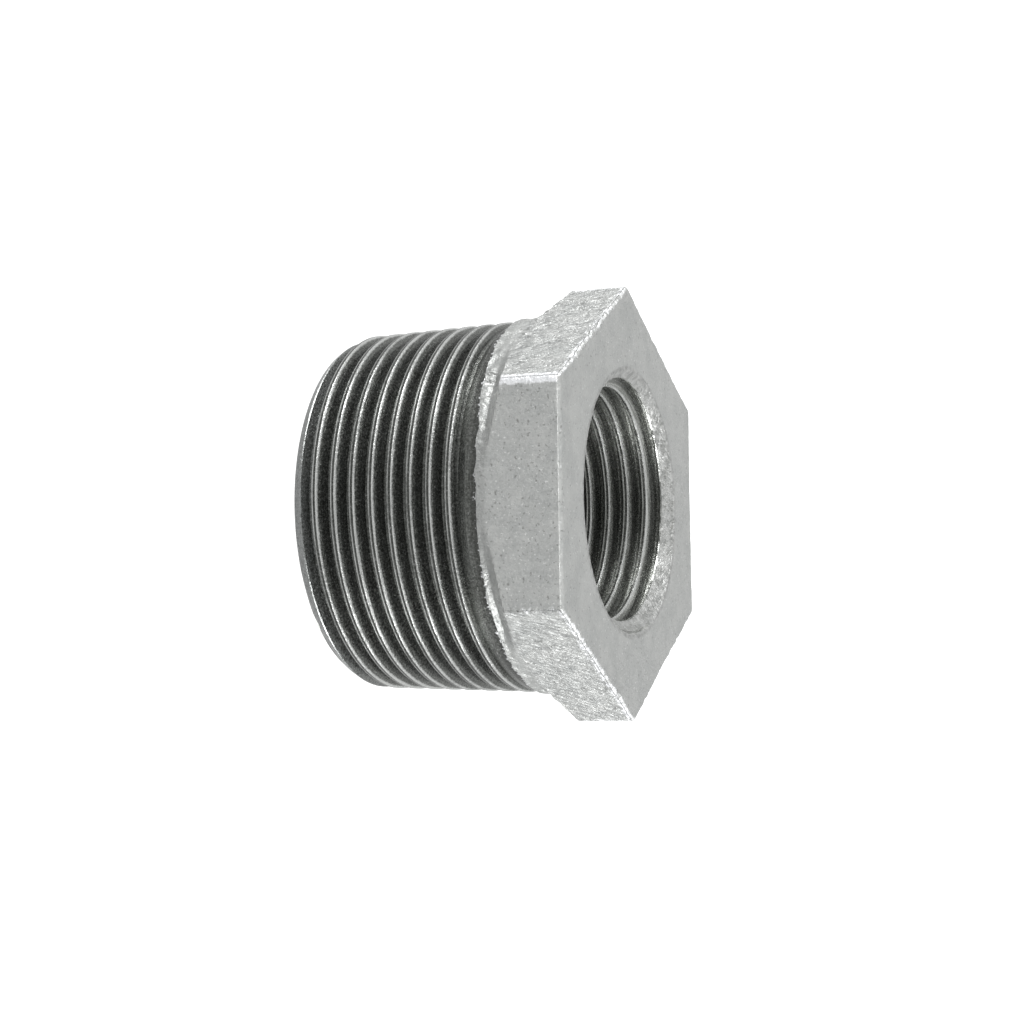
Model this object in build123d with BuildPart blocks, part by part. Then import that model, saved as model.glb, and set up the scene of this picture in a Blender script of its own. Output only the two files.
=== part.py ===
from build123d import *
from math import atan, ceil, cos, degrees, radians, sqrt, tan
import os

# Hex bushing, one casting. Millimetres, +Z along the thread axis.
# It stands on the ring at its male end, at z = 0, and its hexagonal face is on top.

# Pipe thread form
pitch = 2.309
thread_depth = 0.6403 * pitch
flank_angle = 27.5
root_flat = 0.167 * pitch
taper = 1 / 16

# Male thread, with a crest at crest_height on the side of crest_angle
gauge_diameter = 41.91
gauge_length = 12.7
male_thread_length = 21.3
run_out_length = 2.8
crest_angle = -90.0
crest_height = 9.93
end_chamfer_depth = 1.0
end_chamfer_length = 1.7

# Hexagonal head and the round collar behind it
across_flats = 42.5
total_length = 32.3
head_land = 6.8
head_back_angle = 55.0
collar_diameter = 42.8
ridge_radius = 0.5
face_edge_chamfer = 0.4

# Female end: a tapered bore as wide as the thread's crests, behind a countersunk mouth
bore_diameter = 26.4
bore_length = 18.4
mouth_diameter = 29.8
mouth_angle = 45.0

# Cored passage from the male end to the bore
passage_diameter = 30.0
shoulder_angle = 30.0

# How far the thread cutter reaches past the surface that it cuts
cutter_reach = 0.2

# Sizes that follow from the ones above
collar_radius = collar_diameter / 2
passage_radius = passage_diameter / 2
mouth_radius = mouth_diameter / 2
head_reach = across_flats / sqrt(3) + cutter_reach
land_base = total_length - head_land
cone_foot = land_base - (head_reach - collar_radius) / tan(radians(head_back_angle))
run_out_start = male_thread_length - run_out_length
passage_top = total_length - bore_length
cone_angle = degrees(atan(taper / 2))
slant_pitch = pitch / cos(radians(cone_angle))
root_half = root_flat / 2
cutter_half = root_half + (thread_depth + cutter_reach) * tan(radians(flank_angle))


def crest_radius(z):
    return (gauge_diameter + (z - gauge_length) * taper) / 2


def root_radius(z):
    return crest_radius(z) - thread_depth


def bore_radius(z):
    return (bore_diameter - (total_length - z) * taper) / 2


# The groove starts on the +X side, at least one turn below the male end
groove_height = crest_height - pitch * (0.5 + crest_angle / 360)
groove_start = groove_height - pitch * ceil(groove_height / pitch + 1)
groove_floor = root_radius(groove_start)
groove_mouth = groove_floor + thread_depth + cutter_reach

mouth_foot = total_length - (mouth_radius - bore_radius(total_length)) / tan(radians(mouth_angle))
shoulder_rise = (passage_radius - bore_radius(passage_top)) / tan(radians(shoulder_angle))

with BuildPart() as thread_cutter:
    # One groove wound round the taper, from below the male end up to the collar
    with BuildLine() as groove_path:
        Helix(
            slant_pitch,
            male_thread_length - groove_start,
            groove_floor,
            center=(0, 0, groove_start),
            cone_angle=cone_angle,
        )
    with BuildSketch(Plane.XZ):
        with BuildLine():
            Polyline(
                (groove_floor, groove_start + root_half),
                (groove_floor, groove_start - root_half),
                (groove_mouth, groove_start - cutter_half),
                (groove_mouth, groove_start + cutter_half),
                close=True,
            )
        make_face()
    sweep(path=groove_path.line, is_frenet=True)

    # Run-out, where the groove fades on a cone before it meets the collar
    with BuildSketch(Plane.XZ):
        with BuildLine():
            Polyline(
                (0, run_out_start),
                (root_radius(run_out_start) - cutter_reach, run_out_start),
                (crest_radius(male_thread_length), male_thread_length),
                (head_reach, male_thread_length),
                (head_reach, total_length),
                (0, total_length),
                close=True,
            )
        make_face()
    revolve(axis=Axis.Z, mode=Mode.SUBTRACT)

    # Half turns, so that no flank of the cut thread is one face nine turns long
    split(bisect_by=Plane.XZ, keep=Keep.ALL)

with BuildPart() as hex_bushing:
    # Hexagonal head, turned to a cone behind its corners and to a round collar
    with BuildSketch(Plane.XY.offset(male_thread_length)):
        RegularPolygon(across_flats / 2, 6, major_radius=False)
    extrude(amount=total_length - male_thread_length)
    fillet(hex_bushing.edges().filter_by(Axis.Z), ridge_radius)
    chamfer(hex_bushing.faces().sort_by(Axis.Z)[-1].edges(), face_edge_chamfer)
    with BuildSketch(Plane.XZ):
        with BuildLine():
            Polyline(
                (0, 0),
                (collar_radius, 0),
                (collar_radius, cone_foot),
                (head_reach, land_base),
                (head_reach, total_length),
                (0, total_length),
                close=True,
            )
        make_face()
    revolve(axis=Axis.Z, mode=Mode.INTERSECT)

    # Tapered blank of the male thread, chamfered at its end
    with BuildSketch(Plane.XZ):
        with BuildLine():
            Polyline(
                (0, 0),
                (crest_radius(0) - end_chamfer_depth, 0),
                (crest_radius(end_chamfer_length), end_chamfer_length),
                (crest_radius(male_thread_length), male_thread_length),
                (0, male_thread_length),
                close=True,
            )
        make_face()
    revolve(axis=Axis.Z)

    # Cored passage, shoulder, tapered bore and the countersunk mouth
    with BuildSketch(Plane.XZ):
        with BuildLine():
            Polyline(
                (0, 0),
                (passage_radius, 0),
                (passage_radius, passage_top - shoulder_rise),
                (bore_radius(passage_top), passage_top),
                (bore_radius(mouth_foot), mouth_foot),
                (mouth_radius, total_length),
                (0, total_length),
                close=True,
            )
        make_face()
    revolve(axis=Axis.Z, mode=Mode.SUBTRACT)

    # Male thread, with the faces of its half turns left apart
    add(thread_cutter.part, mode=Mode.SUBTRACT, clean=False)

hex_bushing.part.label = "hex_bushing"
os.makedirs("parts", exist_ok=True)
export_step(hex_bushing.part, "parts/hex_bushing.step")
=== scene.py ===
import itertools
import math
from collections import namedtuple

import bpy
import numpy as np
from mathutils import Matrix, Vector


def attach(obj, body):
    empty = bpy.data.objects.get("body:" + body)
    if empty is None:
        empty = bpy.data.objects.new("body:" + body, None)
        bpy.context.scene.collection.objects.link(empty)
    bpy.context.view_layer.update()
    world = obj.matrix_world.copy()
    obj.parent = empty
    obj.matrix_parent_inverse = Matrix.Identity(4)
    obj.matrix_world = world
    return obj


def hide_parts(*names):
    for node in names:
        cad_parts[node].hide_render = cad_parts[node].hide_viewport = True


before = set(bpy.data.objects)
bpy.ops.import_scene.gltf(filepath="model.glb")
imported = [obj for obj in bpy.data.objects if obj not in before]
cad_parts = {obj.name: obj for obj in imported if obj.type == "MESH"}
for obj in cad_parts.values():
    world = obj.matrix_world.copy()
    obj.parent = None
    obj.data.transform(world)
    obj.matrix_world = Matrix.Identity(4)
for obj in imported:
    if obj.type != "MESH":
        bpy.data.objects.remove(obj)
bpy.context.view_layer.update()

# Hex bushing, galvanised, with its two threads cut through the coat.
# Lengths are millimetres up to the mesh, which is made in metres. Angles are radians.
MM = 0.001

# Pipe thread: the part's pitch, depth, flanks and taper, with narrower roots and wider crests
PITCH = 2.309
THREAD_DEPTH = 0.6403 * PITCH
FLANK_SLOPE = math.tan(math.radians(27.5))
ROOT_HALF = 0.135
CREST_HALF = PITCH / 2 - ROOT_HALF - THREAD_DEPTH * FLANK_SLOPE
WIDEST_CREST = PITCH / 2 - ROOT_HALF
WIDEST_ROOT = PITCH / 2 - CREST_HALF
TAPER = 1 / 16

# Male thread, its run-out below the collar and its chamfer at the male end
GAUGE_DIAMETER = 41.91
GAUGE_LENGTH = 12.7
MALE_LENGTH = 21.3
MALE_FOOT = 0.1
MALE_CREST_HEIGHT = 9.93
MALE_CREST_ANGLE = math.radians(-90)
RUN_OUT_START = 18.5
RUN_OUT_DIP = 0.2
CHAMFER_DEPTH = 1.0
CHAMFER_LENGTH = 1.7

# Head and collar
FLATS = 6
FLAT_ANGLE = math.pi / 3
ACROSS_FLATS = 42.5
TOTAL_LENGTH = 32.3
HEAD_LAND = 6.8
COLLAR_RADIUS = 21.4
RIDGE_RADIUS = 0.51
FACE_EDGE = 0.4

# Hollow back of the head's corners, and the valley where it meets the collar
COVE_LENGTH = 2.6
COVE_POWER = 2.1
COVE_BLEND = 0.12
VALLEY_DEPTH = 0.2
VALLEY_RISE = 0.3
VALLEY_WIDTH = 0.38
VALLEY_REACH = (COLLAR_RADIUS + 0.4, COLLAR_RADIUS + 1.6)

# Female end
BORE_DIAMETER = 26.4
BORE_LENGTH = 18.4
MOUTH_RADIUS = 14.9
MOUTH_EDGE = 0.1
FEMALE_CREST_HEIGHT = 26.85
FEMALE_CREST_ANGLE = math.radians(90)

# Cored passage and the ring at the male end
PASSAGE_RADIUS = 15.0
PASSAGE_ROWS = (6.0, 3.0, 0.6)
PASSAGE_EDGE = 0.3
SHOULDER_SLOPE = math.tan(math.radians(30))
RING_BEVEL_WIDTH = 0.15
RING_BEVEL_HEIGHT = 0.25
RING_ROWS = (16.5, 18.0)
RING_EDGE = 0.12

# Line where the coat ends on the collar: its height, how it leans and bends, and the step there
COAT_LINE = 21.6
COAT_LEAN_X = 0.55
COAT_LEAN_Y = -0.8
COAT_BEND = -0.225
COAT_LIMIT = 22.6
COAT_THICKNESS = 0.1
COAT_STEP = (-0.1, 0.25)

# Columns round the threads; the head has twice as many, and they gather towards its ridges
THREAD_COLUMNS = 288
HEAD_COLUMNS = 2 * THREAD_COLUMNS
RIDGE_GATHER = 0.3

# Rows of the collar, the head's flank and the rounded edge of its face
COLLAR_ROWS = 7
COLLAR_MARGIN = 0.1
HEAD_ROWS = 46
EDGE_ROWS = 6

# Rows of the face, as shares of the way from its edge to the mouth
FACE_SHARES = (0.04, 0.12, 0.3, 0.55, 0.8, 0.94, 1.0)

HEX_REACH = ACROSS_FLATS / math.sqrt(3)
LAND_BASE = TOTAL_LENGTH - HEAD_LAND
COVE_FOOT = LAND_BASE - COVE_LENGTH
FACE_EDGE_FOOT = TOTAL_LENGTH - FACE_EDGE
PASSAGE_TOP = TOTAL_LENGTH - BORE_LENGTH

# Layers of lumps, each with its height, its grain and the seed of its random draw
Lumps = namedtuple("Lumps", "height grain seed")
COAT_LINE_LUMPS = (Lumps(0.16, 2.2, 31), Lumps(0.12, 0.9, 32), Lumps(0.08, 0.5, 33))
HEAD_LUMPS = (Lumps(0.035, 3.1, 41), Lumps(0.022, 1.3, 42), Lumps(0.012, 0.6, 43))
SWIRL = (Lumps(0.6, 2.6, 46),)
FLANK_BEAD_LUMPS = (Lumps(0.4, 1.5, 51),)
FACE_BEAD_LUMPS = (Lumps(0.3, 1.3, 62),)
FACE_DENTS = Lumps(0.012, 2.0, 61)
EDGE_CHIPS = Lumps(0.05, 0.7, 63)
COUNTERSINK_LUMPS = (Lumps(0.07, 1.2, 65), Lumps(0.05, 0.6, 66))
COUNTERSINK_SINK = 0.04
COUNTERSINK_FADE = (0.1, 0.4)
ON_CONE = 0.02

# Ripples that the zinc left on the flats, and by flat how deep they are and how they lean
Ripples = namedtuple("Ripples", "height length width shift seed")
BROAD_RIPPLES = Ripples(height=0.6, length=2.4, width=0.8, shift=7.3, seed=44)
FINE_RIPPLES = Ripples(height=0.8, length=1.2, width=0.42, shift=3.7, seed=45)
RIPPLE_SINK = 0.6
RIPPLE_DEPTHS = np.array([0.15, 0.08, 0.16, 0.17, 0.014, 0.17])
RIPPLE_LEANS = np.radians([17, -16, 14, 17, 0, -24])
RIPPLES_FADE = (9.5, 12.0)
RIPPLES_PROUD = 0.08
COAT_RELIEF_FADE = 0.6

# Flats that face along the Y axis, and the calmer one of them that faces the camera
SQUARE_FLATS = (1, 4)
NEAR_FLAT = 4
NEAR_FLAT_LUMPS = 0.35

# Zinc built up by flat along the edge of the face, and by ridge along the ridges, where the amounts also
# paint a highlight on each ridge
FACE_EDGE_AMOUNTS = np.array([0.9, 0.7, 0.9, 0.86, 0.55, 0.95])
RIDGE_BUILD_UP_AND_HIGHLIGHT = np.array([0.9, 1.1, 0.8, 1.0, 1.45, 0.72])
FLANK_BEAD = (0.2, 0.9)
FACE_BEAD = (0.15, 0.7)
RIDGE_BAND = (0.1, 1.35)
RIDGE_BAND_RADIUS = 24
RIDGE_BAND_RISE = (COVE_FOOT + 1.2, LAND_BASE + 0.2)

# Wear of the crest edges: their bevel, and the rows on and beside them
BEVEL = 0.045
EDGE_ROW_GAP = 0.05
LOW_EDGE_GAP = 2.6 * EDGE_ROW_GAP
CREST_ROW_SHIFT = 0.6 * EDGE_ROW_GAP

# Passes that find how far a cone widens a crest or a root, and spare turns at the thread's ends
REACH_PASSES = 4
SPARE_TURNS_BELOW = 2
SPARE_TURNS_ABOVE = 1

# Wear and painted highlight of each row of a turn, from root to root; a value below 0 is a line of painted
# shade
LOW_EDGE, HIGH_EDGE = 1.0, 2.0
CREST_SHADE_LINE, FLANK_SHADE_LINE = -1.2, -0.5
TURN_WEAR_HIGHLIGHT_AND_SHADE = (0.0, 0.0, 0.0, LOW_EDGE, LOW_EDGE, CREST_SHADE_LINE, HIGH_EDGE, HIGH_EDGE, FLANK_SHADE_LINE, 0.0)
TURN_ROWS = len(TURN_WEAR_HIGHLIGHT_AND_SHADE)

# Wear and painted highlight of a crest's two edges: the least, what patches add, and how far it breaks up
LOW_EDGE_WEAR_AND_HIGHLIGHT, LOW_EDGE_PATCHES = 0.62, 0.38
HIGH_EDGE_WEAR_AND_HIGHLIGHT, HIGH_EDGE_PATCHES = 0.80, 0.30
WEAR_BREAKS = 0.11
PATCH_GRAIN = 9.0
BREAK_GRAIN = 1.6
WEAR_STRETCH = 2.5
WEAR_SETS_IN = (0.2, 3.0)
WEAR_FADES = (19.9, 20.7)
FADED_WEAR = 0.1
FEMALE_LOW_EDGE_LOSS = 0.22

# Seeds of the random draws for the bevels and the wear of the two threads
MALE_BEVEL_SEED, FEMALE_BEVEL_SEED = 11, 21
MALE_WEAR_SEED, FEMALE_WEAR_SEED = 81, 83

# Radii at which the noise is taken, so that it runs on round the axis
THREAD_NOISE_RADIUS = 20.0
COLLAR_NOISE_RADIUS = 21.0
HEAD_NOISE_RADIUS = 22.0

# Cells along each side of the block of noise, which repeats
NOISE_CELLS = 32

# Painted masks: distances over which the bare band, the painted shade at the coat's foot and the rough end
# fade
THREAD_NEAR_COAT = (0.0, 1.3)
COAT_FOOT = (0.4, 1.6)
ROUGH_END = (0.8, 3.4)
ROUGH_END_AMOUNT = 0.75

# How uneven the zinc is on the collar and on the flats, which also sets how much painted shade they get, and
# how rough the rows at the mouth are
ABOVE_COLLAR = (COVE_FOOT + 0.3, COVE_FOOT + 1.2)
COLLAR_UNEVEN, SQUARE_FLAT_UNEVEN, SLANTED_FLAT_UNEVEN = 0.45, 0.15, 1.0
MOUTH_ROUGH, NEXT_ROW_ROUGH = 1.0, 0.35


def ease(part):
    return part * part * (3 - 2 * part)


def steps(value, low, high):
    """Smooth step from 0 below low to 1 above high."""
    return ease(np.clip((value - low) / (high - low), 0, 1))


def noise(spot, grain, seed):
    """Smooth noise from -1 to 1, with lumps about one grain across."""
    table = np.random.default_rng(seed).random((NOISE_CELLS, NOISE_CELLS, NOISE_CELLS))
    scaled = spot / grain
    cell = np.floor(scaled).astype(int)
    part = ease(scaled - cell)
    total = np.zeros(spot.shape[:-1])
    for corner in itertools.product((0, 1), repeat=3):
        index = (cell + corner) % NOISE_CELLS
        share = np.prod(np.where(corner, part, 1 - part), axis=-1)
        total += share * table[index[..., 0], index[..., 1], index[..., 2]]
    return 2 * total - 1


def lumpy(base, spot, layers):
    """A base value with layers of lumps on it."""
    return sum((layer.height * noise(spot, layer.grain, layer.seed) for layer in layers), base)


def dented(spot, layer):
    """Depth of one layer of dents, which only cut in."""
    return layer.height * (1 + noise(spot, layer.grain, layer.seed))


def round_point(radius, angle, z):
    return np.stack([radius * np.cos(angle), radius * np.sin(angle), z + 0 * angle], axis=-1)


def column_angles(columns):
    even = np.arange(columns) * 2 * math.pi / columns
    return even - RIDGE_GATHER / FLATS * np.sin(FLATS * even)


# Radii of the two threads

def male_crest(z):
    return (GAUGE_DIAMETER + (z - GAUGE_LENGTH) * TAPER) / 2


def male_chamfer(z):
    foot = male_crest(0) - CHAMFER_DEPTH
    return foot + z * (male_crest(CHAMFER_LENGTH) - foot) / CHAMFER_LENGTH


def male_run_out(z):
    low = male_crest(RUN_OUT_START) - THREAD_DEPTH - RUN_OUT_DIP
    return low + (z - RUN_OUT_START) * (male_crest(MALE_LENGTH) - low) / (MALE_LENGTH - RUN_OUT_START)


def female_crest(z):
    return (BORE_DIAMETER - (TOTAL_LENGTH - z) * TAPER) / 2


SHOULDER_FOOT = PASSAGE_TOP - (PASSAGE_RADIUS - female_crest(PASSAGE_TOP)) / SHOULDER_SLOPE


def female_cones(z):
    """The 45 degree countersink at the mouth, and the shoulder at the passage."""
    mouth = MOUTH_RADIUS - (TOTAL_LENGTH - z)
    shoulder = female_crest(PASSAGE_TOP) + (PASSAGE_TOP - z) * SHOULDER_SLOPE
    return np.maximum(mouth, shoulder)


def crest_offset(z, angle, crest_height, crest_angle):
    """Distance along the axis from the middle of the nearest crest."""
    turn = (z - crest_height) / PITCH - (angle - crest_angle) / (2 * math.pi)
    return np.abs(turn - np.round(turn)) * PITCH


def bevel_width(angle, z, seed):
    """Width of the bevel that wear left on the crest edges."""
    spot = round_point(THREAD_NOISE_RADIUS, angle, z)
    return lumpy(BEVEL, spot, (Lumps(0.02, 1.1, seed), Lumps(0.012, 0.5, seed + 1)))


def groove_drop(offset, bevel):
    """Depth below the crest at a distance along the axis from the crest's middle."""
    worn = np.clip((offset - CREST_HALF + bevel) / (2 * bevel), 0, 1) * bevel / FLANK_SLOPE
    flank = (offset - CREST_HALF) / FLANK_SLOPE
    return np.where(offset < CREST_HALF + bevel, worn, np.clip(flank, 0, THREAD_DEPTH))


def male_radius(z, angle):
    offset = crest_offset(z, angle, MALE_CREST_HEIGHT, MALE_CREST_ANGLE)
    radius = male_crest(z) - groove_drop(offset, bevel_width(angle, z, MALE_BEVEL_SEED))
    radius = np.where(z > RUN_OUT_START, np.maximum(radius, male_run_out(z)), radius)
    return np.where(z < CHAMFER_LENGTH, np.minimum(radius, male_chamfer(z)), radius)


def female_radius(z, angle):
    offset = crest_offset(z, angle, FEMALE_CREST_HEIGHT, FEMALE_CREST_ANGLE)
    radius = female_crest(z) + groove_drop(offset, bevel_width(angle, z, FEMALE_BEVEL_SEED))
    return np.maximum(radius, female_cones(z))


# Rows that follow the threads

def male_crest_cut(z):
    """How deep the chamfer cuts the crests."""
    return np.where(z < CHAMFER_LENGTH, male_crest(z) - male_chamfer(z), 0)


def male_root_fill(z):
    """How far the run-out fills the roots."""
    return np.where(z > RUN_OUT_START, male_run_out(z) - male_crest(z) + THREAD_DEPTH, 0)


def female_crest_cut(z):
    """How deep the countersink and the shoulder cut the crests."""
    return np.maximum(female_cones(z) - female_crest(z), 0)


def female_root_fill(z):
    return 0 * z


def reach_from(middle, side, half, cut, widest):
    """How far a crest or a root reaches to one side of its middle, where a cone cuts into it."""
    reach = half + 0 * middle
    for _ in range(REACH_PASSES):
        reach = half + np.clip(cut(middle + side * reach) * FLANK_SLOPE, 0, WIDEST_CREST)
    return np.minimum(reach, widest)


def thread_rows(angles, crest_height, crest_angle, low, high, crest_cut, root_fill):
    """Heights of the rows that follow a thread, on the edges of its form, and their wear."""
    turns_below = math.ceil((crest_height - low) / PITCH) + SPARE_TURNS_BELOW
    turns_above = math.ceil((high - crest_height) / PITCH) + SPARE_TURNS_ABOVE
    rows = []
    for turn in range(-turns_below, turns_above + 1):
        crest = crest_height + PITCH * (turn + (angles - crest_angle) / (2 * math.pi))
        root = crest - PITCH / 2
        next_root = crest + PITCH / 2
        edge_below, edge_above = (
            reach_from(crest, side, CREST_HALF, crest_cut, WIDEST_CREST) for side in (-1, 1))
        floor_below, floor_above = (
            reach_from(root, side, ROOT_HALF, root_fill, WIDEST_ROOT) for side in (-1, 1))
        rows += [
            root,
            root + floor_above,
            (root + floor_above + crest - edge_below) / 2,
            crest - edge_below - EDGE_ROW_GAP,
            crest - edge_below + LOW_EDGE_GAP,
            crest + CREST_ROW_SHIFT,
            crest + edge_above - EDGE_ROW_GAP,
            crest + edge_above + EDGE_ROW_GAP,
            (crest + edge_above + next_root - floor_below) / 2,
            next_root - floor_below,
        ]
    wear = np.tile(TURN_WEAR_HIGHLIGHT_AND_SHADE, len(rows) // TURN_ROWS)[:, None]
    return np.maximum.accumulate(np.array(rows), axis=0), wear


def edge_wear_highlight_and_shade(wear, angle, z, seed):
    """Wear and painted highlight that come and go along each turn, more on the edge nearer the head; lines of
    painted shade pass through.
    """
    spot = round_point(THREAD_NOISE_RADIUS, angle, WEAR_STRETCH * z)
    patches = 0.5 + 0.5 * noise(spot, PATCH_GRAIN, seed)
    breaks = noise(spot, BREAK_GRAIN, seed + 1)
    low = LOW_EDGE_WEAR_AND_HIGHLIGHT + LOW_EDGE_PATCHES * patches
    high = HIGH_EDGE_WEAR_AND_HIGHLIGHT + HIGH_EDGE_PATCHES * patches
    strength = np.where(wear == LOW_EDGE, low, high) + WEAR_BREAKS * breaks
    return np.where(wear > 0, strength, wear)


# Head

def from_ridge(angle):
    """Angle to the nearest ridge of the hexagon."""
    return np.abs((angle + FLAT_ANGLE / 2) % FLAT_ANGLE - FLAT_ANGLE / 2)


def hex_reach(angle):
    """Distance from the axis to the hexagon, with its ridges rounded."""
    off = from_ridge(angle)
    flat = ACROSS_FLATS / 2 / np.cos(FLAT_ANGLE / 2 - off)
    centre = (ACROSS_FLATS / 2 - RIDGE_RADIUS) / math.cos(FLAT_ANGLE / 2)
    across = centre * np.sin(off)
    arc = centre * np.cos(off) + np.sqrt(np.maximum(RIDGE_RADIUS ** 2 - across ** 2, 0))
    arc_end = np.arctan2(RIDGE_RADIUS / 2, centre + RIDGE_RADIUS * math.cos(FLAT_ANGLE / 2))
    return np.where(off < arc_end, arc, flat)


def flat_place(angle):
    """Number of the flat, the distance along it from its middle, and its share away from the ridges."""
    number = np.floor(angle / FLAT_ANGLE).astype(int) % FLATS
    middle = (number + 0.5) * FLAT_ANGLE
    off = (angle - middle + math.pi) % (2 * math.pi) - math.pi
    along = ACROSS_FLATS / 2 * np.tan(off)
    return number, along, 1 - steps(np.abs(along), *RIPPLES_FADE)


def coat_height(angle):
    """Height where the coat ends, on a ragged line round the collar."""
    line = COAT_LINE + COAT_LEAN_X * np.cos(angle) + COAT_LEAN_Y * np.sin(angle)
    line = line + COAT_BEND * np.cos(2 * angle)
    spot = round_point(COLLAR_NOISE_RADIUS, angle, 0.0)
    return np.minimum(line + lumpy(0.0, spot, COAT_LINE_LUMPS), COAT_LIMIT)


def blunt_min(a, b, blend):
    mix = np.clip(0.5 + (b - a) / (2 * blend), 0, 1)
    return b * (1 - mix) + a * mix - blend * mix * (1 - mix)


def head_limit(z, angle):
    """Turned limit of the head: the collar, and the hollow back of the corners with its valley."""
    climb = np.maximum(z - COVE_FOOT, 0) / COVE_LENGTH
    cove = COLLAR_RADIUS + (HEX_REACH - COLLAR_RADIUS) * climb ** COVE_POWER
    foot = coat_height(angle)
    step_low, step_high = COAT_STEP
    collar = COLLAR_RADIUS - COAT_THICKNESS * (1 - steps(z, foot + step_low, foot + step_high))
    near_corner = steps(hex_reach(angle), *VALLEY_REACH)
    valley = VALLEY_DEPTH * near_corner * np.exp(-((z - COVE_FOOT - VALLEY_RISE) / VALLEY_WIDTH) ** 2)
    return np.maximum(collar, cove) - valley


def ripple_place(z, angle):
    """Distances along and across the ripples, which lean by a different angle on each flat."""
    number, along, _ = flat_place(angle)
    lean = RIPPLE_LEANS[number]
    return z * np.cos(lean) - along * np.sin(lean), z * np.sin(lean) + along * np.cos(lean)


def crinkle(z, angle):
    """Lumps and ripples that the zinc left on the head."""
    spot = round_point(HEAD_NOISE_RADIUS, angle, z)
    number, _, share = flat_place(angle)
    lengthwise, crosswise = ripple_place(z, angle)
    swirl = lumpy(0.0, spot, SWIRL)
    ripple = 0.0
    for layer in (BROAD_RIPPLES, FINE_RIPPLES):
        across = crosswise / layer.width + swirl
        place = np.stack([lengthwise / layer.length, across, number * layer.shift], axis=-1)
        ripple = ripple + layer.height * noise(place, 1.0, layer.seed)
    lumps = lumpy(0.0, spot, HEAD_LUMPS) * np.where(number == NEAR_FLAT, NEAR_FLAT_LUMPS, 1)
    return lumps + RIPPLE_DEPTHS[number] * share * (ripple - RIPPLE_SINK)


def bead(distance, spot, band, layers):
    """Build-up of zinc that fades over a band with a wavy far side."""
    near, far = band
    return 1 - steps(distance, near, lumpy(far, spot, layers))


def flank_build_up_and_highlight(z, angle):
    """Zinc built up on the ridges and along the face's edge, as far as the flank shows it, with a painted
    highlight on the ridges.
    """
    number = flat_place(angle)[0]
    spot = round_point(HEAD_NOISE_RADIUS, angle, z)
    edge = FACE_EDGE_AMOUNTS[number] * bead(np.abs(z - FACE_EDGE_FOOT), spot, FLANK_BEAD, FLANK_BEAD_LUMPS)
    nearest = np.round(angle / FLAT_ANGLE).astype(int) % FLATS
    ridge = RIDGE_BUILD_UP_AND_HIGHLIGHT[nearest] * (1 - steps(from_ridge(angle) * RIDGE_BAND_RADIUS, *RIDGE_BAND))
    return np.maximum(edge, ridge * steps(z, *RIDGE_BAND_RISE))


# Mesh

COAT, CUT = 0, 1
MASKS = ("crest wear highlight and shade", "near coat", "raised_and_highlight", "rough cut", "uneven", "inside", "lengthwise", "crosswise")
WEAR_HIGHLIGHT_AND_SHADE, NEAR_COAT, RAISED_AND_HIGHLIGHT, ROUGH, UNEVEN, INSIDE, LENGTHWISE, CROSSWISE = range(len(MASKS))

# Vertices that agree to this many digits of a millimetre are made one
MERGE_DIGITS = 5

# Faces that meet at more than this angle have a sharp edge
SHARP_ANGLE = math.radians(24)


class Skin:
    """Vertices and faces of the bushing, gathered row by row."""

    def __init__(self):
        self.places = []
        self.masks = []
        self.faces = []
        self.kinds = []
        self.count = 0

    def add_rows(self, radius, angle, z, masks):
        """Add rows of vertices, and give the number of each."""
        index = self.count + np.arange(z.size).reshape(z.shape)
        self.places.append(round_point(radius, angle, z).reshape(-1, 3))
        self.masks.append(masks.reshape(-1, len(MASKS)))
        self.count += z.size
        return index

    def add_faces(self, corners, kind):
        triangles = np.stack(corners, axis=-1).reshape(-1, 3)
        self.faces.append(triangles)
        self.kinds.append(np.full(len(triangles), kind))

    def join_rows(self, index, kind, turn_rows=0):
        """Faces between rows; a thread's last column meets its first one turn later."""
        up = np.clip(np.arange(len(index)) + turn_rows, 0, len(index) - 1)
        right = np.concatenate([index[:, 1:], index[up, :1]], axis=1)
        self.add_faces((index[:-1], right[:-1], right[1:]), kind)
        self.add_faces((index[:-1], right[1:], index[1:]), kind)

    def join_coarse_to_fine(self, coarse, fine, kind, flip=False):
        """Faces between a row and one that has twice as many columns."""
        even = fine[0::2]
        odd = fine[1::2]
        after = np.roll(coarse, -1)
        even_after = np.roll(even, -1)
        for a, b, c in ((coarse, odd, even), (coarse, after, odd), (after, even_after, odd)):
            self.add_faces((a, c, b) if flip else (a, b, c), kind)

    def merged(self):
        """All vertices, masks, faces and kinds, with vertices that coincide made one."""
        places = np.concatenate(self.places)
        masks = np.concatenate(self.masks)
        kinds = np.concatenate(self.kinds)
        rounded = np.round(places, MERGE_DIGITS)
        _, first, inverse = np.unique(rounded, axis=0, return_index=True, return_inverse=True)
        faces = inverse.reshape(-1)[np.concatenate(self.faces)]
        whole = (faces[:, 0] != faces[:, 1]) & (faces[:, 1] != faces[:, 2]) & (faces[:, 2] != faces[:, 0])
        return places[first], masks[first], faces[whole], kinds[whole]


def masks_like(z):
    return np.zeros(z.shape + (len(MASKS),))


def column_of(values):
    return np.array(values)[:, None]


def add_end_ring(skin, angles):
    """Ring that the bushing stands on."""
    inner = (PASSAGE_RADIUS, PASSAGE_RADIUS + RING_BEVEL_WIDTH)
    radius = column_of((*inner, *RING_ROWS, male_chamfer(0.0) - RING_EDGE)) + 0 * angles
    z = 0 * radius
    z[0] = RING_BEVEL_HEIGHT
    index = skin.add_rows(radius, angles + 0 * z, z, masks_like(z))
    skin.join_rows(index, CUT)
    return index


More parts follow.
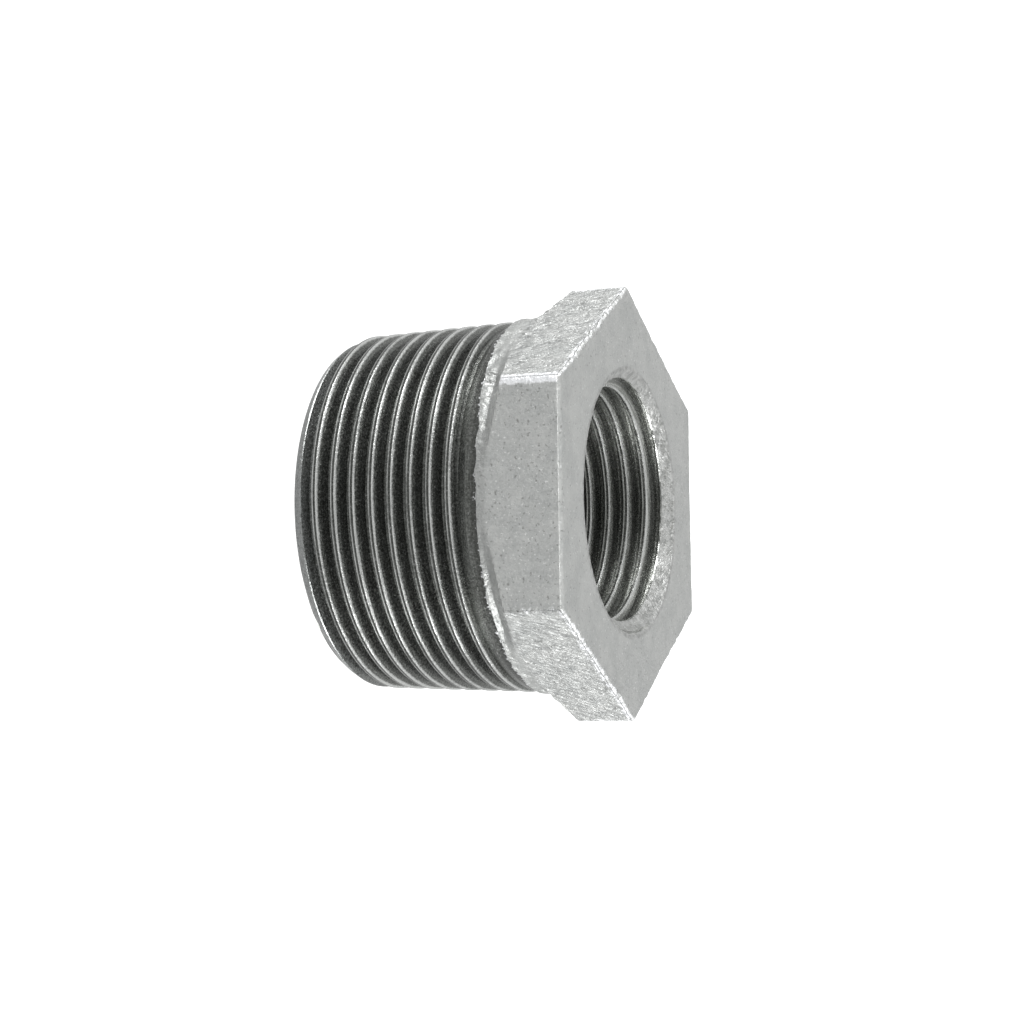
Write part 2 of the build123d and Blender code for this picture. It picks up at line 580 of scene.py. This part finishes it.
def add_male_thread(skin, angles):
    """Male thread, from its chamfer up to the line where the coat ends."""
    rows, wear = thread_rows(
        angles, MALE_CREST_HEIGHT, MALE_CREST_ANGLE, 0.0, COAT_LIMIT, male_crest_cut, male_root_fill)
    top = coat_height(angles)
    z = np.clip(rows, MALE_FOOT, top)
    angle = angles + 0 * z
    masks = masks_like(z)
    clear = steps(z, *WEAR_SETS_IN) * (1 - (1 - FADED_WEAR) * steps(z, *WEAR_FADES))
    # Crest edges: wear with a painted highlight, and lines of painted shade beside them
    masks[..., WEAR_HIGHLIGHT_AND_SHADE] = edge_wear_highlight_and_shade(wear, angle, z, MALE_WEAR_SEED) * (FADED_WEAR + (1 - FADED_WEAR) * clear)
    masks[..., NEAR_COAT] = 1 - steps(top - z, *THREAD_NEAR_COAT)
    masks[..., ROUGH] = ROUGH_END_AMOUNT * (1 - steps(z, *ROUGH_END))
    index = skin.add_rows(male_radius(np.minimum(z, MALE_LENGTH), angle), angle, z, masks)
    skin.join_rows(index, CUT, turn_rows=TURN_ROWS)
    return index


def add_flank(skin, angles):
    """Collar, hollow back and flats of the head, and its reach at the edge of the face."""
    foot = coat_height(angles)
    collar_top = COVE_FOOT + COLLAR_MARGIN
    collar = np.linspace(0, 1, COLLAR_ROWS)[:, None] * (collar_top - foot) + foot
    head = np.linspace(collar_top, FACE_EDGE_FOOT, HEAD_ROWS)[1:, None] + 0 * foot
    z = np.concatenate([collar, head])
    angle = angles + 0 * z
    number, _, share = flat_place(angle)
    square_flat = np.isin(number, SQUARE_FLATS)
    radius = blunt_min(hex_reach(angle), head_limit(z, angle), COVE_BLEND)
    radius = radius + crinkle(z, angle) * steps(z, foot, foot + COAT_RELIEF_FADE)
    radius = np.minimum(radius, hex_reach(angle) + np.where(square_flat, 0, RIPPLES_PROUD * share))
    masks = masks_like(z)
    flat_uneven = np.where(square_flat, SQUARE_FLAT_UNEVEN, SLANTED_FLAT_UNEVEN)
    masks[..., UNEVEN] = COLLAR_UNEVEN + steps(z, *ABOVE_COLLAR) * (flat_uneven - COLLAR_UNEVEN)
    masks[..., RAISED_AND_HIGHLIGHT] = flank_build_up_and_highlight(z, angle)
    masks[..., LENGTHWISE], masks[..., CROSSWISE] = ripple_place(z, angle)
    masks[..., NEAR_COAT] = 1 - steps(z - foot, *COAT_FOOT)
    index = skin.add_rows(radius, angle, z, masks)
    skin.join_rows(index, COAT)
    return index, radius[-1]


def add_face(skin, angles, reach):
    """Rounded and chipped edge of the hexagonal face, and the face up to the mouth."""
    bend = column_of(np.linspace(0, math.pi / 2, EDGE_ROWS)[1:])
    edge_radius = reach - FACE_EDGE * (1 - np.cos(bend))
    edge_z = TOTAL_LENGTH - FACE_EDGE * (1 - np.sin(bend)) + 0 * reach
    chips = dented(round_point(edge_radius, angles + 0 * edge_z, edge_z), EDGE_CHIPS) * np.sin(2 * bend)
    edge_radius = edge_radius - chips
    edge_z = edge_z - chips
    shares = column_of(FACE_SHARES)
    face_radius = edge_radius[-1] * (1 - shares) + MOUTH_RADIUS * shares
    radius = np.concatenate([edge_radius, face_radius])
    z = np.concatenate([edge_z, TOTAL_LENGTH + 0 * face_radius])
    angle = angles + 0 * z
    spot = round_point(radius, angle, z)
    z = z - dented(spot, FACE_DENTS) * (z > TOTAL_LENGTH - FACE_DENTS.height)
    masks = masks_like(z)
    edge = bead(reach - radius, spot, FACE_BEAD, FACE_BEAD_LUMPS)
    masks[..., RAISED_AND_HIGHLIGHT] = FACE_EDGE_AMOUNTS[flat_place(angle)[0]] * edge
    masks[-1, :, ROUGH] = MOUTH_ROUGH
    masks[-2, :, ROUGH] = NEXT_ROW_ROUGH
    index = skin.add_rows(radius, angle, z, masks)
    skin.join_rows(index, COAT)
    return index


def add_female_thread(skin, angles):
    """Rough countersink and female thread, down to the foot of the shoulder."""
    rows, wear = thread_rows(
        angles, FEMALE_CREST_HEIGHT, FEMALE_CREST_ANGLE, SHOULDER_FOOT, TOTAL_LENGTH,
        female_crest_cut, female_root_fill)
    z = np.clip(rows, SHOULDER_FOOT, TOTAL_LENGTH - MOUTH_EDGE)
    angle = angles + 0 * z
    radius = female_radius(z, angle)
    on_countersink = (radius - female_cones(z) < ON_CONE) & (z > PASSAGE_TOP + PITCH)
    lumps = lumpy(0.0, round_point(radius, angle, z), COUNTERSINK_LUMPS) - COUNTERSINK_SINK
    radius = radius + lumps * on_countersink * steps(TOTAL_LENGTH - z, *COUNTERSINK_FADE)
    masks = masks_like(z)
    # The same in the bore, with less painted highlight on the low edges
    masks[..., WEAR_HIGHLIGHT_AND_SHADE] = edge_wear_highlight_and_shade(wear, angle, z, FEMALE_WEAR_SEED) - FEMALE_LOW_EDGE_LOSS * (wear == LOW_EDGE)
    masks[..., INSIDE] = 1
    masks[..., ROUGH] = on_countersink
    index = skin.add_rows(radius, angle, z, masks)
    skin.join_rows(index[::-1], CUT, turn_rows=-TURN_ROWS)
    return index


def add_passage(skin, angles):
    """Cored passage below the shoulder."""
    z = column_of((SHOULDER_FOOT - PASSAGE_EDGE, *PASSAGE_ROWS)) + 0 * angles
    return skin.add_rows(PASSAGE_RADIUS, angles + 0 * z, z, masks_like(z))


def build_bushing():
    skin = Skin()
    thread_angles = column_angles(THREAD_COLUMNS)
    head_angles = column_angles(HEAD_COLUMNS)

    ring = add_end_ring(skin, thread_angles)
    male = add_male_thread(skin, thread_angles)
    skin.join_rows(np.stack([ring[-1], male[0]]), CUT)

    flank, reach = add_flank(skin, head_angles)
    skin.join_coarse_to_fine(male[-1], flank[0], COAT)
    face = add_face(skin, head_angles, reach)
    skin.join_rows(np.stack([flank[-1], face[0]]), COAT)

    female = add_female_thread(skin, thread_angles)
    skin.join_coarse_to_fine(female[-1], face[-1], COAT, flip=True)
    passage = add_passage(skin, thread_angles)
    skin.join_rows(np.concatenate([female[:1], passage, ring[:1]]), CUT)

    # The coat goes on over the countersink
    places, masks, faces, kinds = skin.merged()
    rough = np.all(masks[faces][..., ROUGH] > 0.5, axis=1)
    above_passage = places[faces][..., 2].min(axis=1) > PASSAGE_TOP
    kinds[rough & above_passage] = COAT
    return places, masks, faces, kinds


def make_mesh():
    places, masks, faces, kinds = build_bushing()
    mesh = bpy.data.meshes.new("hex bushing skin")
    mesh.from_pydata((places * MM).tolist(), [], faces.tolist())
    for number, name in enumerate(MASKS):
        layer = mesh.attributes.new(name, "FLOAT", "POINT")
        layer.data.foreach_set("value", masks[:, number].astype(np.float32))
    mesh.polygons.foreach_set("material_index", kinds.astype(np.int32))
    mesh.shade_smooth()
    mesh.set_sharp_from_angle(angle=SHARP_ANGLE)
    mesh.update()
    return mesh


# Shader nodes

def set_input(tree, socket, value):
    if isinstance(value, bpy.types.NodeSocket):
        tree.links.new(value, socket)
    else:
        socket.default_value = value


def add_node(tree, kind, inputs=None, **settings):
    node = tree.nodes.new(kind)
    for name, value in settings.items():
        setattr(node, name, value)
    for name, value in (inputs or {}).items():
        set_input(tree, node.inputs[name], value)
    return node


def object_place(tree):
    return add_node(tree, "ShaderNodeTexCoord").outputs["Object"]


def noise_at(tree, place, scale, roughness):
    return add_node(tree, "ShaderNodeTexNoise", {
        "Vector": place, "Scale": scale, "Detail": 3.0, "Roughness": roughness}).outputs["Fac"]


def level(tree, value, low, high):
    """0 where a value is low, 1 where it is high."""
    return add_node(tree, "ShaderNodeMapRange", {
        "Value": value, "From Min": low, "From Max": high}).outputs["Result"]


def spread(tree, share, low, high):
    """From low to high, by a share from 0 to 1."""
    return add_node(tree, "ShaderNodeMapRange", {
        "Value": share, "To Min": low, "To Max": high}).outputs["Result"]


def calculate(tree, operation, *values):
    return add_node(tree, "ShaderNodeMath", dict(enumerate(values)), operation=operation).outputs[0]


def ray_is(tree, *kinds):
    """1 for a ray of one of these kinds."""
    light_path = add_node(tree, "ShaderNodeLightPath")
    share = light_path.outputs[kinds[0]]
    for kind in kinds[1:]:
        share = calculate(tree, "MAXIMUM", share, light_path.outputs[kind])
    return share


# Effects, each as a group of nodes

def new_group(name, inputs, output):
    tree = bpy.data.node_groups.new(name, "ShaderNodeTree")
    for label in inputs:
        tree.interface.new_socket(label, in_out="INPUT", socket_type="NodeSocketFloat")
    tree.interface.new_socket(output, in_out="OUTPUT", socket_type="NodeSocketFloat")
    return tree, add_node(tree, "NodeGroupInput").outputs, add_node(tree, "NodeGroupOutput").inputs[output]


def speckle_group():
    """Spots of a given size: a mask that is 1 where noise passes a level."""
    tree, given, result = new_group("speckle", ("Spots per metre", "Low", "High"), "Mask")
    spots = noise_at(tree, object_place(tree), given["Spots per metre"], 0.6)
    tree.links.new(level(tree, spots, given["Low"], given["High"]), result)
    return tree


def ragged_group():
    """A painted mask with a ragged edge."""
    tree, given, result = new_group(
        "ragged edge", ("Mask", "Spots per metre", "Raggedness", "Low", "High"), "Mask")
    spots = noise_at(tree, object_place(tree), given["Spots per metre"], 0.65)
    even = calculate(tree, "SUBTRACT", spots, 0.5)
    moved = calculate(tree, "MULTIPLY_ADD", even, given["Raggedness"], given["Mask"])
    tree.links.new(level(tree, moved, given["Low"], given["High"]), result)
    return tree


def drawn_out_group():
    """Marks that a cutting tool left round the axis."""
    tree, given, result = new_group("drawn out marks", ("Along axis", "Across axis"), "Height")
    scale = add_node(tree, "ShaderNodeCombineXYZ", {
        "X": given["Across axis"], "Y": given["Across axis"], "Z": given["Along axis"]})
    place = add_node(tree, "ShaderNodeVectorMath", {
        0: object_place(tree), 1: scale.outputs[0]}, operation="MULTIPLY")
    tree.links.new(noise_at(tree, place.outputs[0], 1.0, 0.65), result)
    return tree


# Sockets of a mix node that carry its colours
MIX_BELOW, MIX_ABOVE, MIX_RESULT = 6, 7, 2
BUMP_STRENGTH = 0.8


class Finish:
    """A material under way, with short calls for the nodes that finishes need."""

    def __init__(self, name):
        self.material = bpy.data.materials.new(name)
        self.material.use_nodes = True
        self.tree = self.material.node_tree
        self.shader = self.tree.nodes["Principled BSDF"]

    def use(self, group, **inputs):
        """An effect, with its inputs by name."""
        named = {name.replace("_", " "): value for name, value in inputs.items()}
        return add_node(self.tree, "ShaderNodeGroup", named, node_tree=group).outputs[0]

    def painted(self, mask):
        return add_node(self.tree, "ShaderNodeAttribute", attribute_name=mask).outputs["Fac"]

    def times(self, a, b):
        return calculate(self.tree, "MULTIPLY", a, b)

    def plus(self, a, b, share):
        """The sum of a and a share of b."""
        return calculate(self.tree, "MULTIPLY_ADD", b, share, a)

    def level(self, value, low, high):
        return level(self.tree, value, low, high)

    def mix(self, share, below, above):
        """From one colour or tone to another, by a share."""
        node = add_node(self.tree, "ShaderNodeMix", {"Factor": share}, data_type="RGBA")
        for number, colour in ((MIX_BELOW, below), (MIX_ABOVE, above)):
            value = (*colour, 1) if isinstance(colour, tuple) else colour
            set_input(self.tree, node.inputs[number], value)
        return node.outputs[MIX_RESULT]

    def tint(self, colour, tone, where, share):
        """A colour, with a share of a tone where a mask is."""
        return self.mix(self.times(where, share), colour, tone)

    def ripples(self, along, across):
        """Drawn-out lumps, by the number of them in a millimetre along and across the ripples."""
        place = add_node(self.tree, "ShaderNodeCombineXYZ", {
            "X": self.times(self.painted("lengthwise"), along),
            "Y": self.times(self.painted("crosswise"), across)})
        return noise_at(self.tree, place.outputs[0], 1.0, 0.6)

    def complete(self, colour, metallic, grain, roughness, height, depth):
        """Set the shader, with a roughness that follows the grain and a relief as deep as depth."""
        bump = add_node(self.tree, "ShaderNodeBump", {
            "Height": height, "Strength": BUMP_STRENGTH, "Distance": depth * MM})
        set_input(self.tree, self.shader.inputs["Base Color"], colour)
        set_input(self.tree, self.shader.inputs["Metallic"], metallic)
        set_input(self.tree, self.shader.inputs["Roughness"], spread(self.tree, grain, *roughness))
        set_input(self.tree, self.shader.inputs["Normal"], bump.outputs["Normal"])
        return self.material


# Tones of the zinc
ZINC = (0.262, 0.270, 0.264)
CLOUDED_ZINC = (0.312, 0.318, 0.310)
FROSTED_ZINC = (0.42, 0.425, 0.418)
PITTED_ZINC = (0.12, 0.12, 0.115)
PAINTED_GLINT_ZINC = (0.62, 0.62, 0.62)
SHADE_ON_UNEVEN_ZINC = (0.17, 0.175, 0.175)
SHADE_AT_COAT_FOOT_ZINC = (0.12, 0.125, 0.12)
CREASE_SHADE_ZINC = (0.15, 0.155, 0.155)
RAISED_ZINC_AND_HIGHLIGHT = (0.74, 0.75, 0.77)

# Tones of the countersink
ROUGH_HOLLOW = (0.15, 0.155, 0.15)
ROUGH_LUMP = (0.30, 0.305, 0.30)
ROUGH_FROST = (0.38, 0.38, 0.37)
ROUGH_PIT = (0.10, 0.10, 0.09)


def zinc_coat(speckle, ragged):
    """Dull zinc on the casting, brighter on its ridges with built-up zinc and a painted highlight, with
    painted shade and painted glints, and rough in the countersink.
    """
    finish = Finish("dull zinc coat")
    uneven = finish.painted("uneven")
    foot = finish.painted("near coat")
    ripples = finish.level(finish.ripples(along=0.55, across=2.1), low=0.34, high=0.64)
    # Painted shade in the troughs of the ripples
    crease_shade = finish.times(finish.level(ripples, low=0.45, high=0.0), uneven)
    clouds = finish.use(speckle, Spots_per_metre=420, Low=0.36, High=0.66)
    lumps = finish.use(speckle, Spots_per_metre=1150, Low=0.36, High=0.66)
    grain = finish.use(speckle, Spots_per_metre=3600, Low=0.36, High=0.68)
    pits = finish.use(speckle, Spots_per_metre=2600, Low=0.61, High=0.68)
    # Spots for the painted glints
    painted_glints = finish.use(speckle, Spots_per_metre=3100, Low=0.63, High=0.70)
    raised_and_highlight = finish.use(
        ragged, Mask=finish.painted("raised_and_highlight"), Spots_per_metre=1500, Raggedness=1.6, Low=0.75, High=1.1)
    rough = finish.use(
        ragged, Mask=finish.painted("rough cut"), Spots_per_metre=2200, Raggedness=0.7, Low=0.3, High=0.6)

    colour = finish.mix(clouds, ZINC, CLOUDED_ZINC)
    colour = finish.tint(colour, FROSTED_ZINC, where=grain, share=0.3)
    colour = finish.tint(colour, PITTED_ZINC, where=pits, share=0.7)
    # Painted glints: small bright spots
    colour = finish.tint(colour, PAINTED_GLINT_ZINC, where=painted_glints, share=0.6)
    # Painted shade where the zinc is uneven, most on the slanted flats
    colour = finish.tint(colour, SHADE_ON_UNEVEN_ZINC, where=uneven, share=0.15)
    # Painted shade at the foot of the coat, on the collar
    colour = finish.tint(colour, SHADE_AT_COAT_FOOT_ZINC, where=foot, share=0.3)
    # Painted shade in the ripples' troughs
    colour = finish.tint(colour, CREASE_SHADE_ZINC, where=crease_shade, share=0.7)
    # Built-up zinc, brightened on the ridges as a painted highlight
    colour = finish.tint(colour, RAISED_ZINC_AND_HIGHLIGHT, where=raised_and_highlight, share=0.6)
    rough_colour = finish.mix(lumps, ROUGH_HOLLOW, ROUGH_LUMP)
    rough_colour = finish.tint(rough_colour, ROUGH_FROST, where=grain, share=0.4)
    rough_colour = finish.tint(rough_colour, ROUGH_PIT, where=pits, share=0.6)
    colour = finish.mix(rough, colour, rough_colour)

    # The foot of the coat is lumpier than the flats and less rippled
    lumpy_share = finish.plus(uneven, foot, share=1.0)
    rippled_share = finish.plus(uneven, foot, share=-0.45)
    height = finish.plus(finish.times(grain, 0.5), finish.times(lumps, lumpy_share), share=0.8)
    height = finish.plus(height, finish.times(ripples, rippled_share), share=3.2)
    height = finish.plus(height, finish.times(lumps, raised_and_highlight), share=1.2)
    height = finish.plus(height, finish.times(lumps, rough), share=1.2)
    return finish.complete(
        colour, metallic=0.6, grain=grain, roughness=(0.42, 0.56), height=height, depth=0.07)


# Tones of the cut iron
OILED_IRON = (0.042, 0.044, 0.040)
CLOUDED_IRON = (0.068, 0.072, 0.068)
GRAINED_IRON = (0.16, 0.166, 0.156)
STREAKED_IRON = (0.18, 0.186, 0.177)
PAINTED_SHADE_IRON = (0.020, 0.021, 0.020)
FLECKED_IRON = (0.30, 0.30, 0.30)
END_IRON = (0.30, 0.31, 0.31)
BARE_BAND = (0.030, 0.031, 0.029)
WORN_IRON_AND_HIGHLIGHT = (0.46, 0.469, 0.46)
ZINC_SPLASH = (0.62, 0.63, 0.64)

# Tones of the female thread, lighter than the male thread's as painted light in the bore
INNER_IRON_PAINTED_LIGHT = (0.20, 0.207, 0.193)
INNER_STREAK_PAINTED_LIGHT = (0.48, 0.490, 0.470)


def cut_iron(speckle, ragged, drawn_out):
    """Oiled iron of the cut threads, with bright crest edges of wear and painted highlight, lines of painted
    shade, and painted light in the bore.
    """
    finish = Finish("oiled cut iron")
    wear = finish.painted("crest wear highlight and shade")
    near_coat = finish.painted("near coat")
    inside = finish.painted("inside")
    rough_end = finish.plus(finish.painted("rough cut"), inside, share=-1.0)
    clouds = finish.use(speckle, Spots_per_metre=260, Low=0.35, High=0.65)
    grain = finish.use(speckle, Spots_per_metre=4200, Low=0.42, High=0.70)
    flecks = finish.use(speckle, Spots_per_metre=3300, Low=0.60, High=0.68)
    marks = finish.use(drawn_out, Along_axis=9000, Across_axis=160)
    streaks = finish.level(marks, low=0.42, high=0.68)
    # Bright crest edges: wear with a painted highlight
    worn = finish.use(ragged, Mask=wear, Spots_per_metre=2600, Raggedness=0.6, Low=0.55, High=0.90)
    # Painted shade: dark lines on the crest's middle and on the flank beside the bright edge
    painted_shade_lines = finish.use(
        ragged, Mask=finish.times(wear, -1.0), Spots_per_metre=3600, Raggedness=0.8, Low=0.0, High=0.7)
    splash = finish.use(ragged, Mask=near_coat, Spots_per_metre=1900, Raggedness=1.6, Low=1.0, High=1.15)
    end_cut = finish.use(ragged, Mask=rough_end, Spots_per_metre=3000, Raggedness=1.5, Low=0.35, High=0.95)

    colour = finish.mix(clouds, OILED_IRON, CLOUDED_IRON)
    colour = finish.tint(colour, GRAINED_IRON, where=grain, share=0.9)
    colour = finish.tint(colour, STREAKED_IRON, where=streaks, share=0.35)
    # Painted light: the bore's thread is lighter all through
    colour = finish.tint(colour, finish.mix(streaks, INNER_IRON_PAINTED_LIGHT, INNER_STREAK_PAINTED_LIGHT), where=inside, share=0.9)
    # Painted shade lines on the threads
    colour = finish.tint(colour, PAINTED_SHADE_IRON, where=painted_shade_lines, share=0.7)
    colour = finish.tint(colour, FLECKED_IRON, where=flecks, share=0.5)
    colour = finish.tint(colour, END_IRON, where=end_cut, share=0.7)
    colour = finish.tint(colour, BARE_BAND, where=near_coat, share=0.7)
    # Crest edges lightened by wear and a painted highlight
    colour = finish.tint(colour, WORN_IRON_AND_HIGHLIGHT, where=worn, share=0.9)
    colour = finish.mix(splash, colour, ZINC_SPLASH)

    height = finish.plus(marks, grain, share=0.4)
    return finish.complete(
        colour, metallic=0.9, grain=grain, roughness=(0.26, 0.42), height=height, depth=0.045)


# Studio, in metres
WHITE = (1, 1, 1, 1)
FLOOR_TONE = (0.5, 0.5, 0.5, 1)
FLOOR_GLOW = (0.76, 0.76, 0.76, 1)
FLOOR_HALF = 3.0
AMBIENT = 0.55
LAMP_AIM = Vector((0, 0, 0.016))
LAMP_SIZE = 0.28
CAMERA_PLACE = Vector((14.66, -232.30, 115.83)) * MM
CAMERA_AIM = Vector((0.8735, -5.1862, 19.897)) * MM
CAMERA_ROLL = math.radians(87.849)
CAMERA_CLIP = 0.01
FOCAL_LENGTH = 77.34
SENSOR_WIDTH = 36


def floor_white():
    """White floor that keeps the object's shadow."""
    material = bpy.data.materials.new("white floor")
    material.use_nodes = True
    tree = material.node_tree
    tree.nodes.clear()
    diffuse = add_node(tree, "ShaderNodeBsdfDiffuse", {"Color": FLOOR_TONE})
    glow = add_node(tree, "ShaderNodeEmission", {
        "Color": FLOOR_GLOW, "Strength": ray_is(tree, "Is Camera Ray")})
    seen = add_node(tree, "ShaderNodeAddShader", {0: diffuse.outputs[0], 1: glow.outputs[0]})
    plain = add_node(tree, "ShaderNodeEmission", {"Color": WHITE, "Strength": 1.0})
    mirrored = ray_is(tree, "Is Glossy Ray", "Is Transmission Ray")
    both = add_node(tree, "ShaderNodeMixShader", {0: mirrored, 1: seen.outputs[0], 2: plain.outputs[0]})
    add_node(tree, "ShaderNodeOutputMaterial", {"Surface": both.outputs[0]})
    return material


def make_floor():
    low, high = -FLOOR_HALF, FLOOR_HALF
    mesh = bpy.data.meshes.new("floor")
    mesh.from_pydata([(low, low, 0), (high, low, 0), (high, high, 0), (low, high, 0)], [], [(0, 1, 2, 3)])
    floor = bpy.data.objects.new("floor", mesh)
    bpy.context.collection.objects.link(floor)
    mesh.materials.append(floor_white())


def make_world():
    """White to the camera and in mirrored light, and dimmer as a light."""
    world = bpy.data.worlds.new("white room")
    bpy.context.scene.world = world
    world.use_nodes = True
    tree = world.node_tree
    tree.nodes.clear()
    seen = ray_is(tree, "Is Camera Ray", "Is Glossy Ray", "Is Transmission Ray")
    sky = add_node(tree, "ShaderNodeBackground", {
        "Color": WHITE, "Strength": spread(tree, seen, AMBIENT, 1.0)})
    add_node(tree, "ShaderNodeOutputWorld", {"Surface": sky.outputs[0]})


def make_lamp(name, place, power):
    lamp = bpy.data.objects.new(name, bpy.data.lights.new(name, "AREA"))
    bpy.context.collection.objects.link(lamp)
    lamp.data.size = LAMP_SIZE
    lamp.data.energy = power
    lamp.location = place
    lamp.rotation_euler = (LAMP_AIM - Vector(place)).to_track_quat("-Z", "Y").to_euler()


def make_camera():
    camera = bpy.data.objects.new("camera", bpy.data.cameras.new("camera"))
    bpy.context.collection.objects.link(camera)
    camera.data.sensor_width = SENSOR_WIDTH
    camera.data.lens = FOCAL_LENGTH
    camera.data.clip_start = CAMERA_CLIP
    turn = (CAMERA_AIM - CAMERA_PLACE).to_track_quat("-Z", "Y").to_matrix().to_4x4()
    camera.matrix_world = Matrix.Translation(CAMERA_PLACE) @ turn @ Matrix.Rotation(CAMERA_ROLL, 4, "Z")
    bpy.context.scene.camera = camera


bushing = bpy.data.objects.new("bushing", make_mesh())
bpy.context.collection.objects.link(bushing)
speckle_effect = speckle_group()
ragged_effect = ragged_group()
bushing.data.materials.append(zinc_coat(speckle_effect, ragged_effect))
bushing.data.materials.append(cut_iron(speckle_effect, ragged_effect, drawn_out_group()))
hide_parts("hex_bushing")
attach(bushing, "root")

make_floor()
make_world()
make_lamp("upper lamp", place=(-0.55, -0.18, 0.22), power=7.0)
make_lamp("lower lamp", place=(0.55, -0.16, 0.22), power=6.5)
make_camera()
bpy.context.scene.view_settings.view_transform = "Standard"
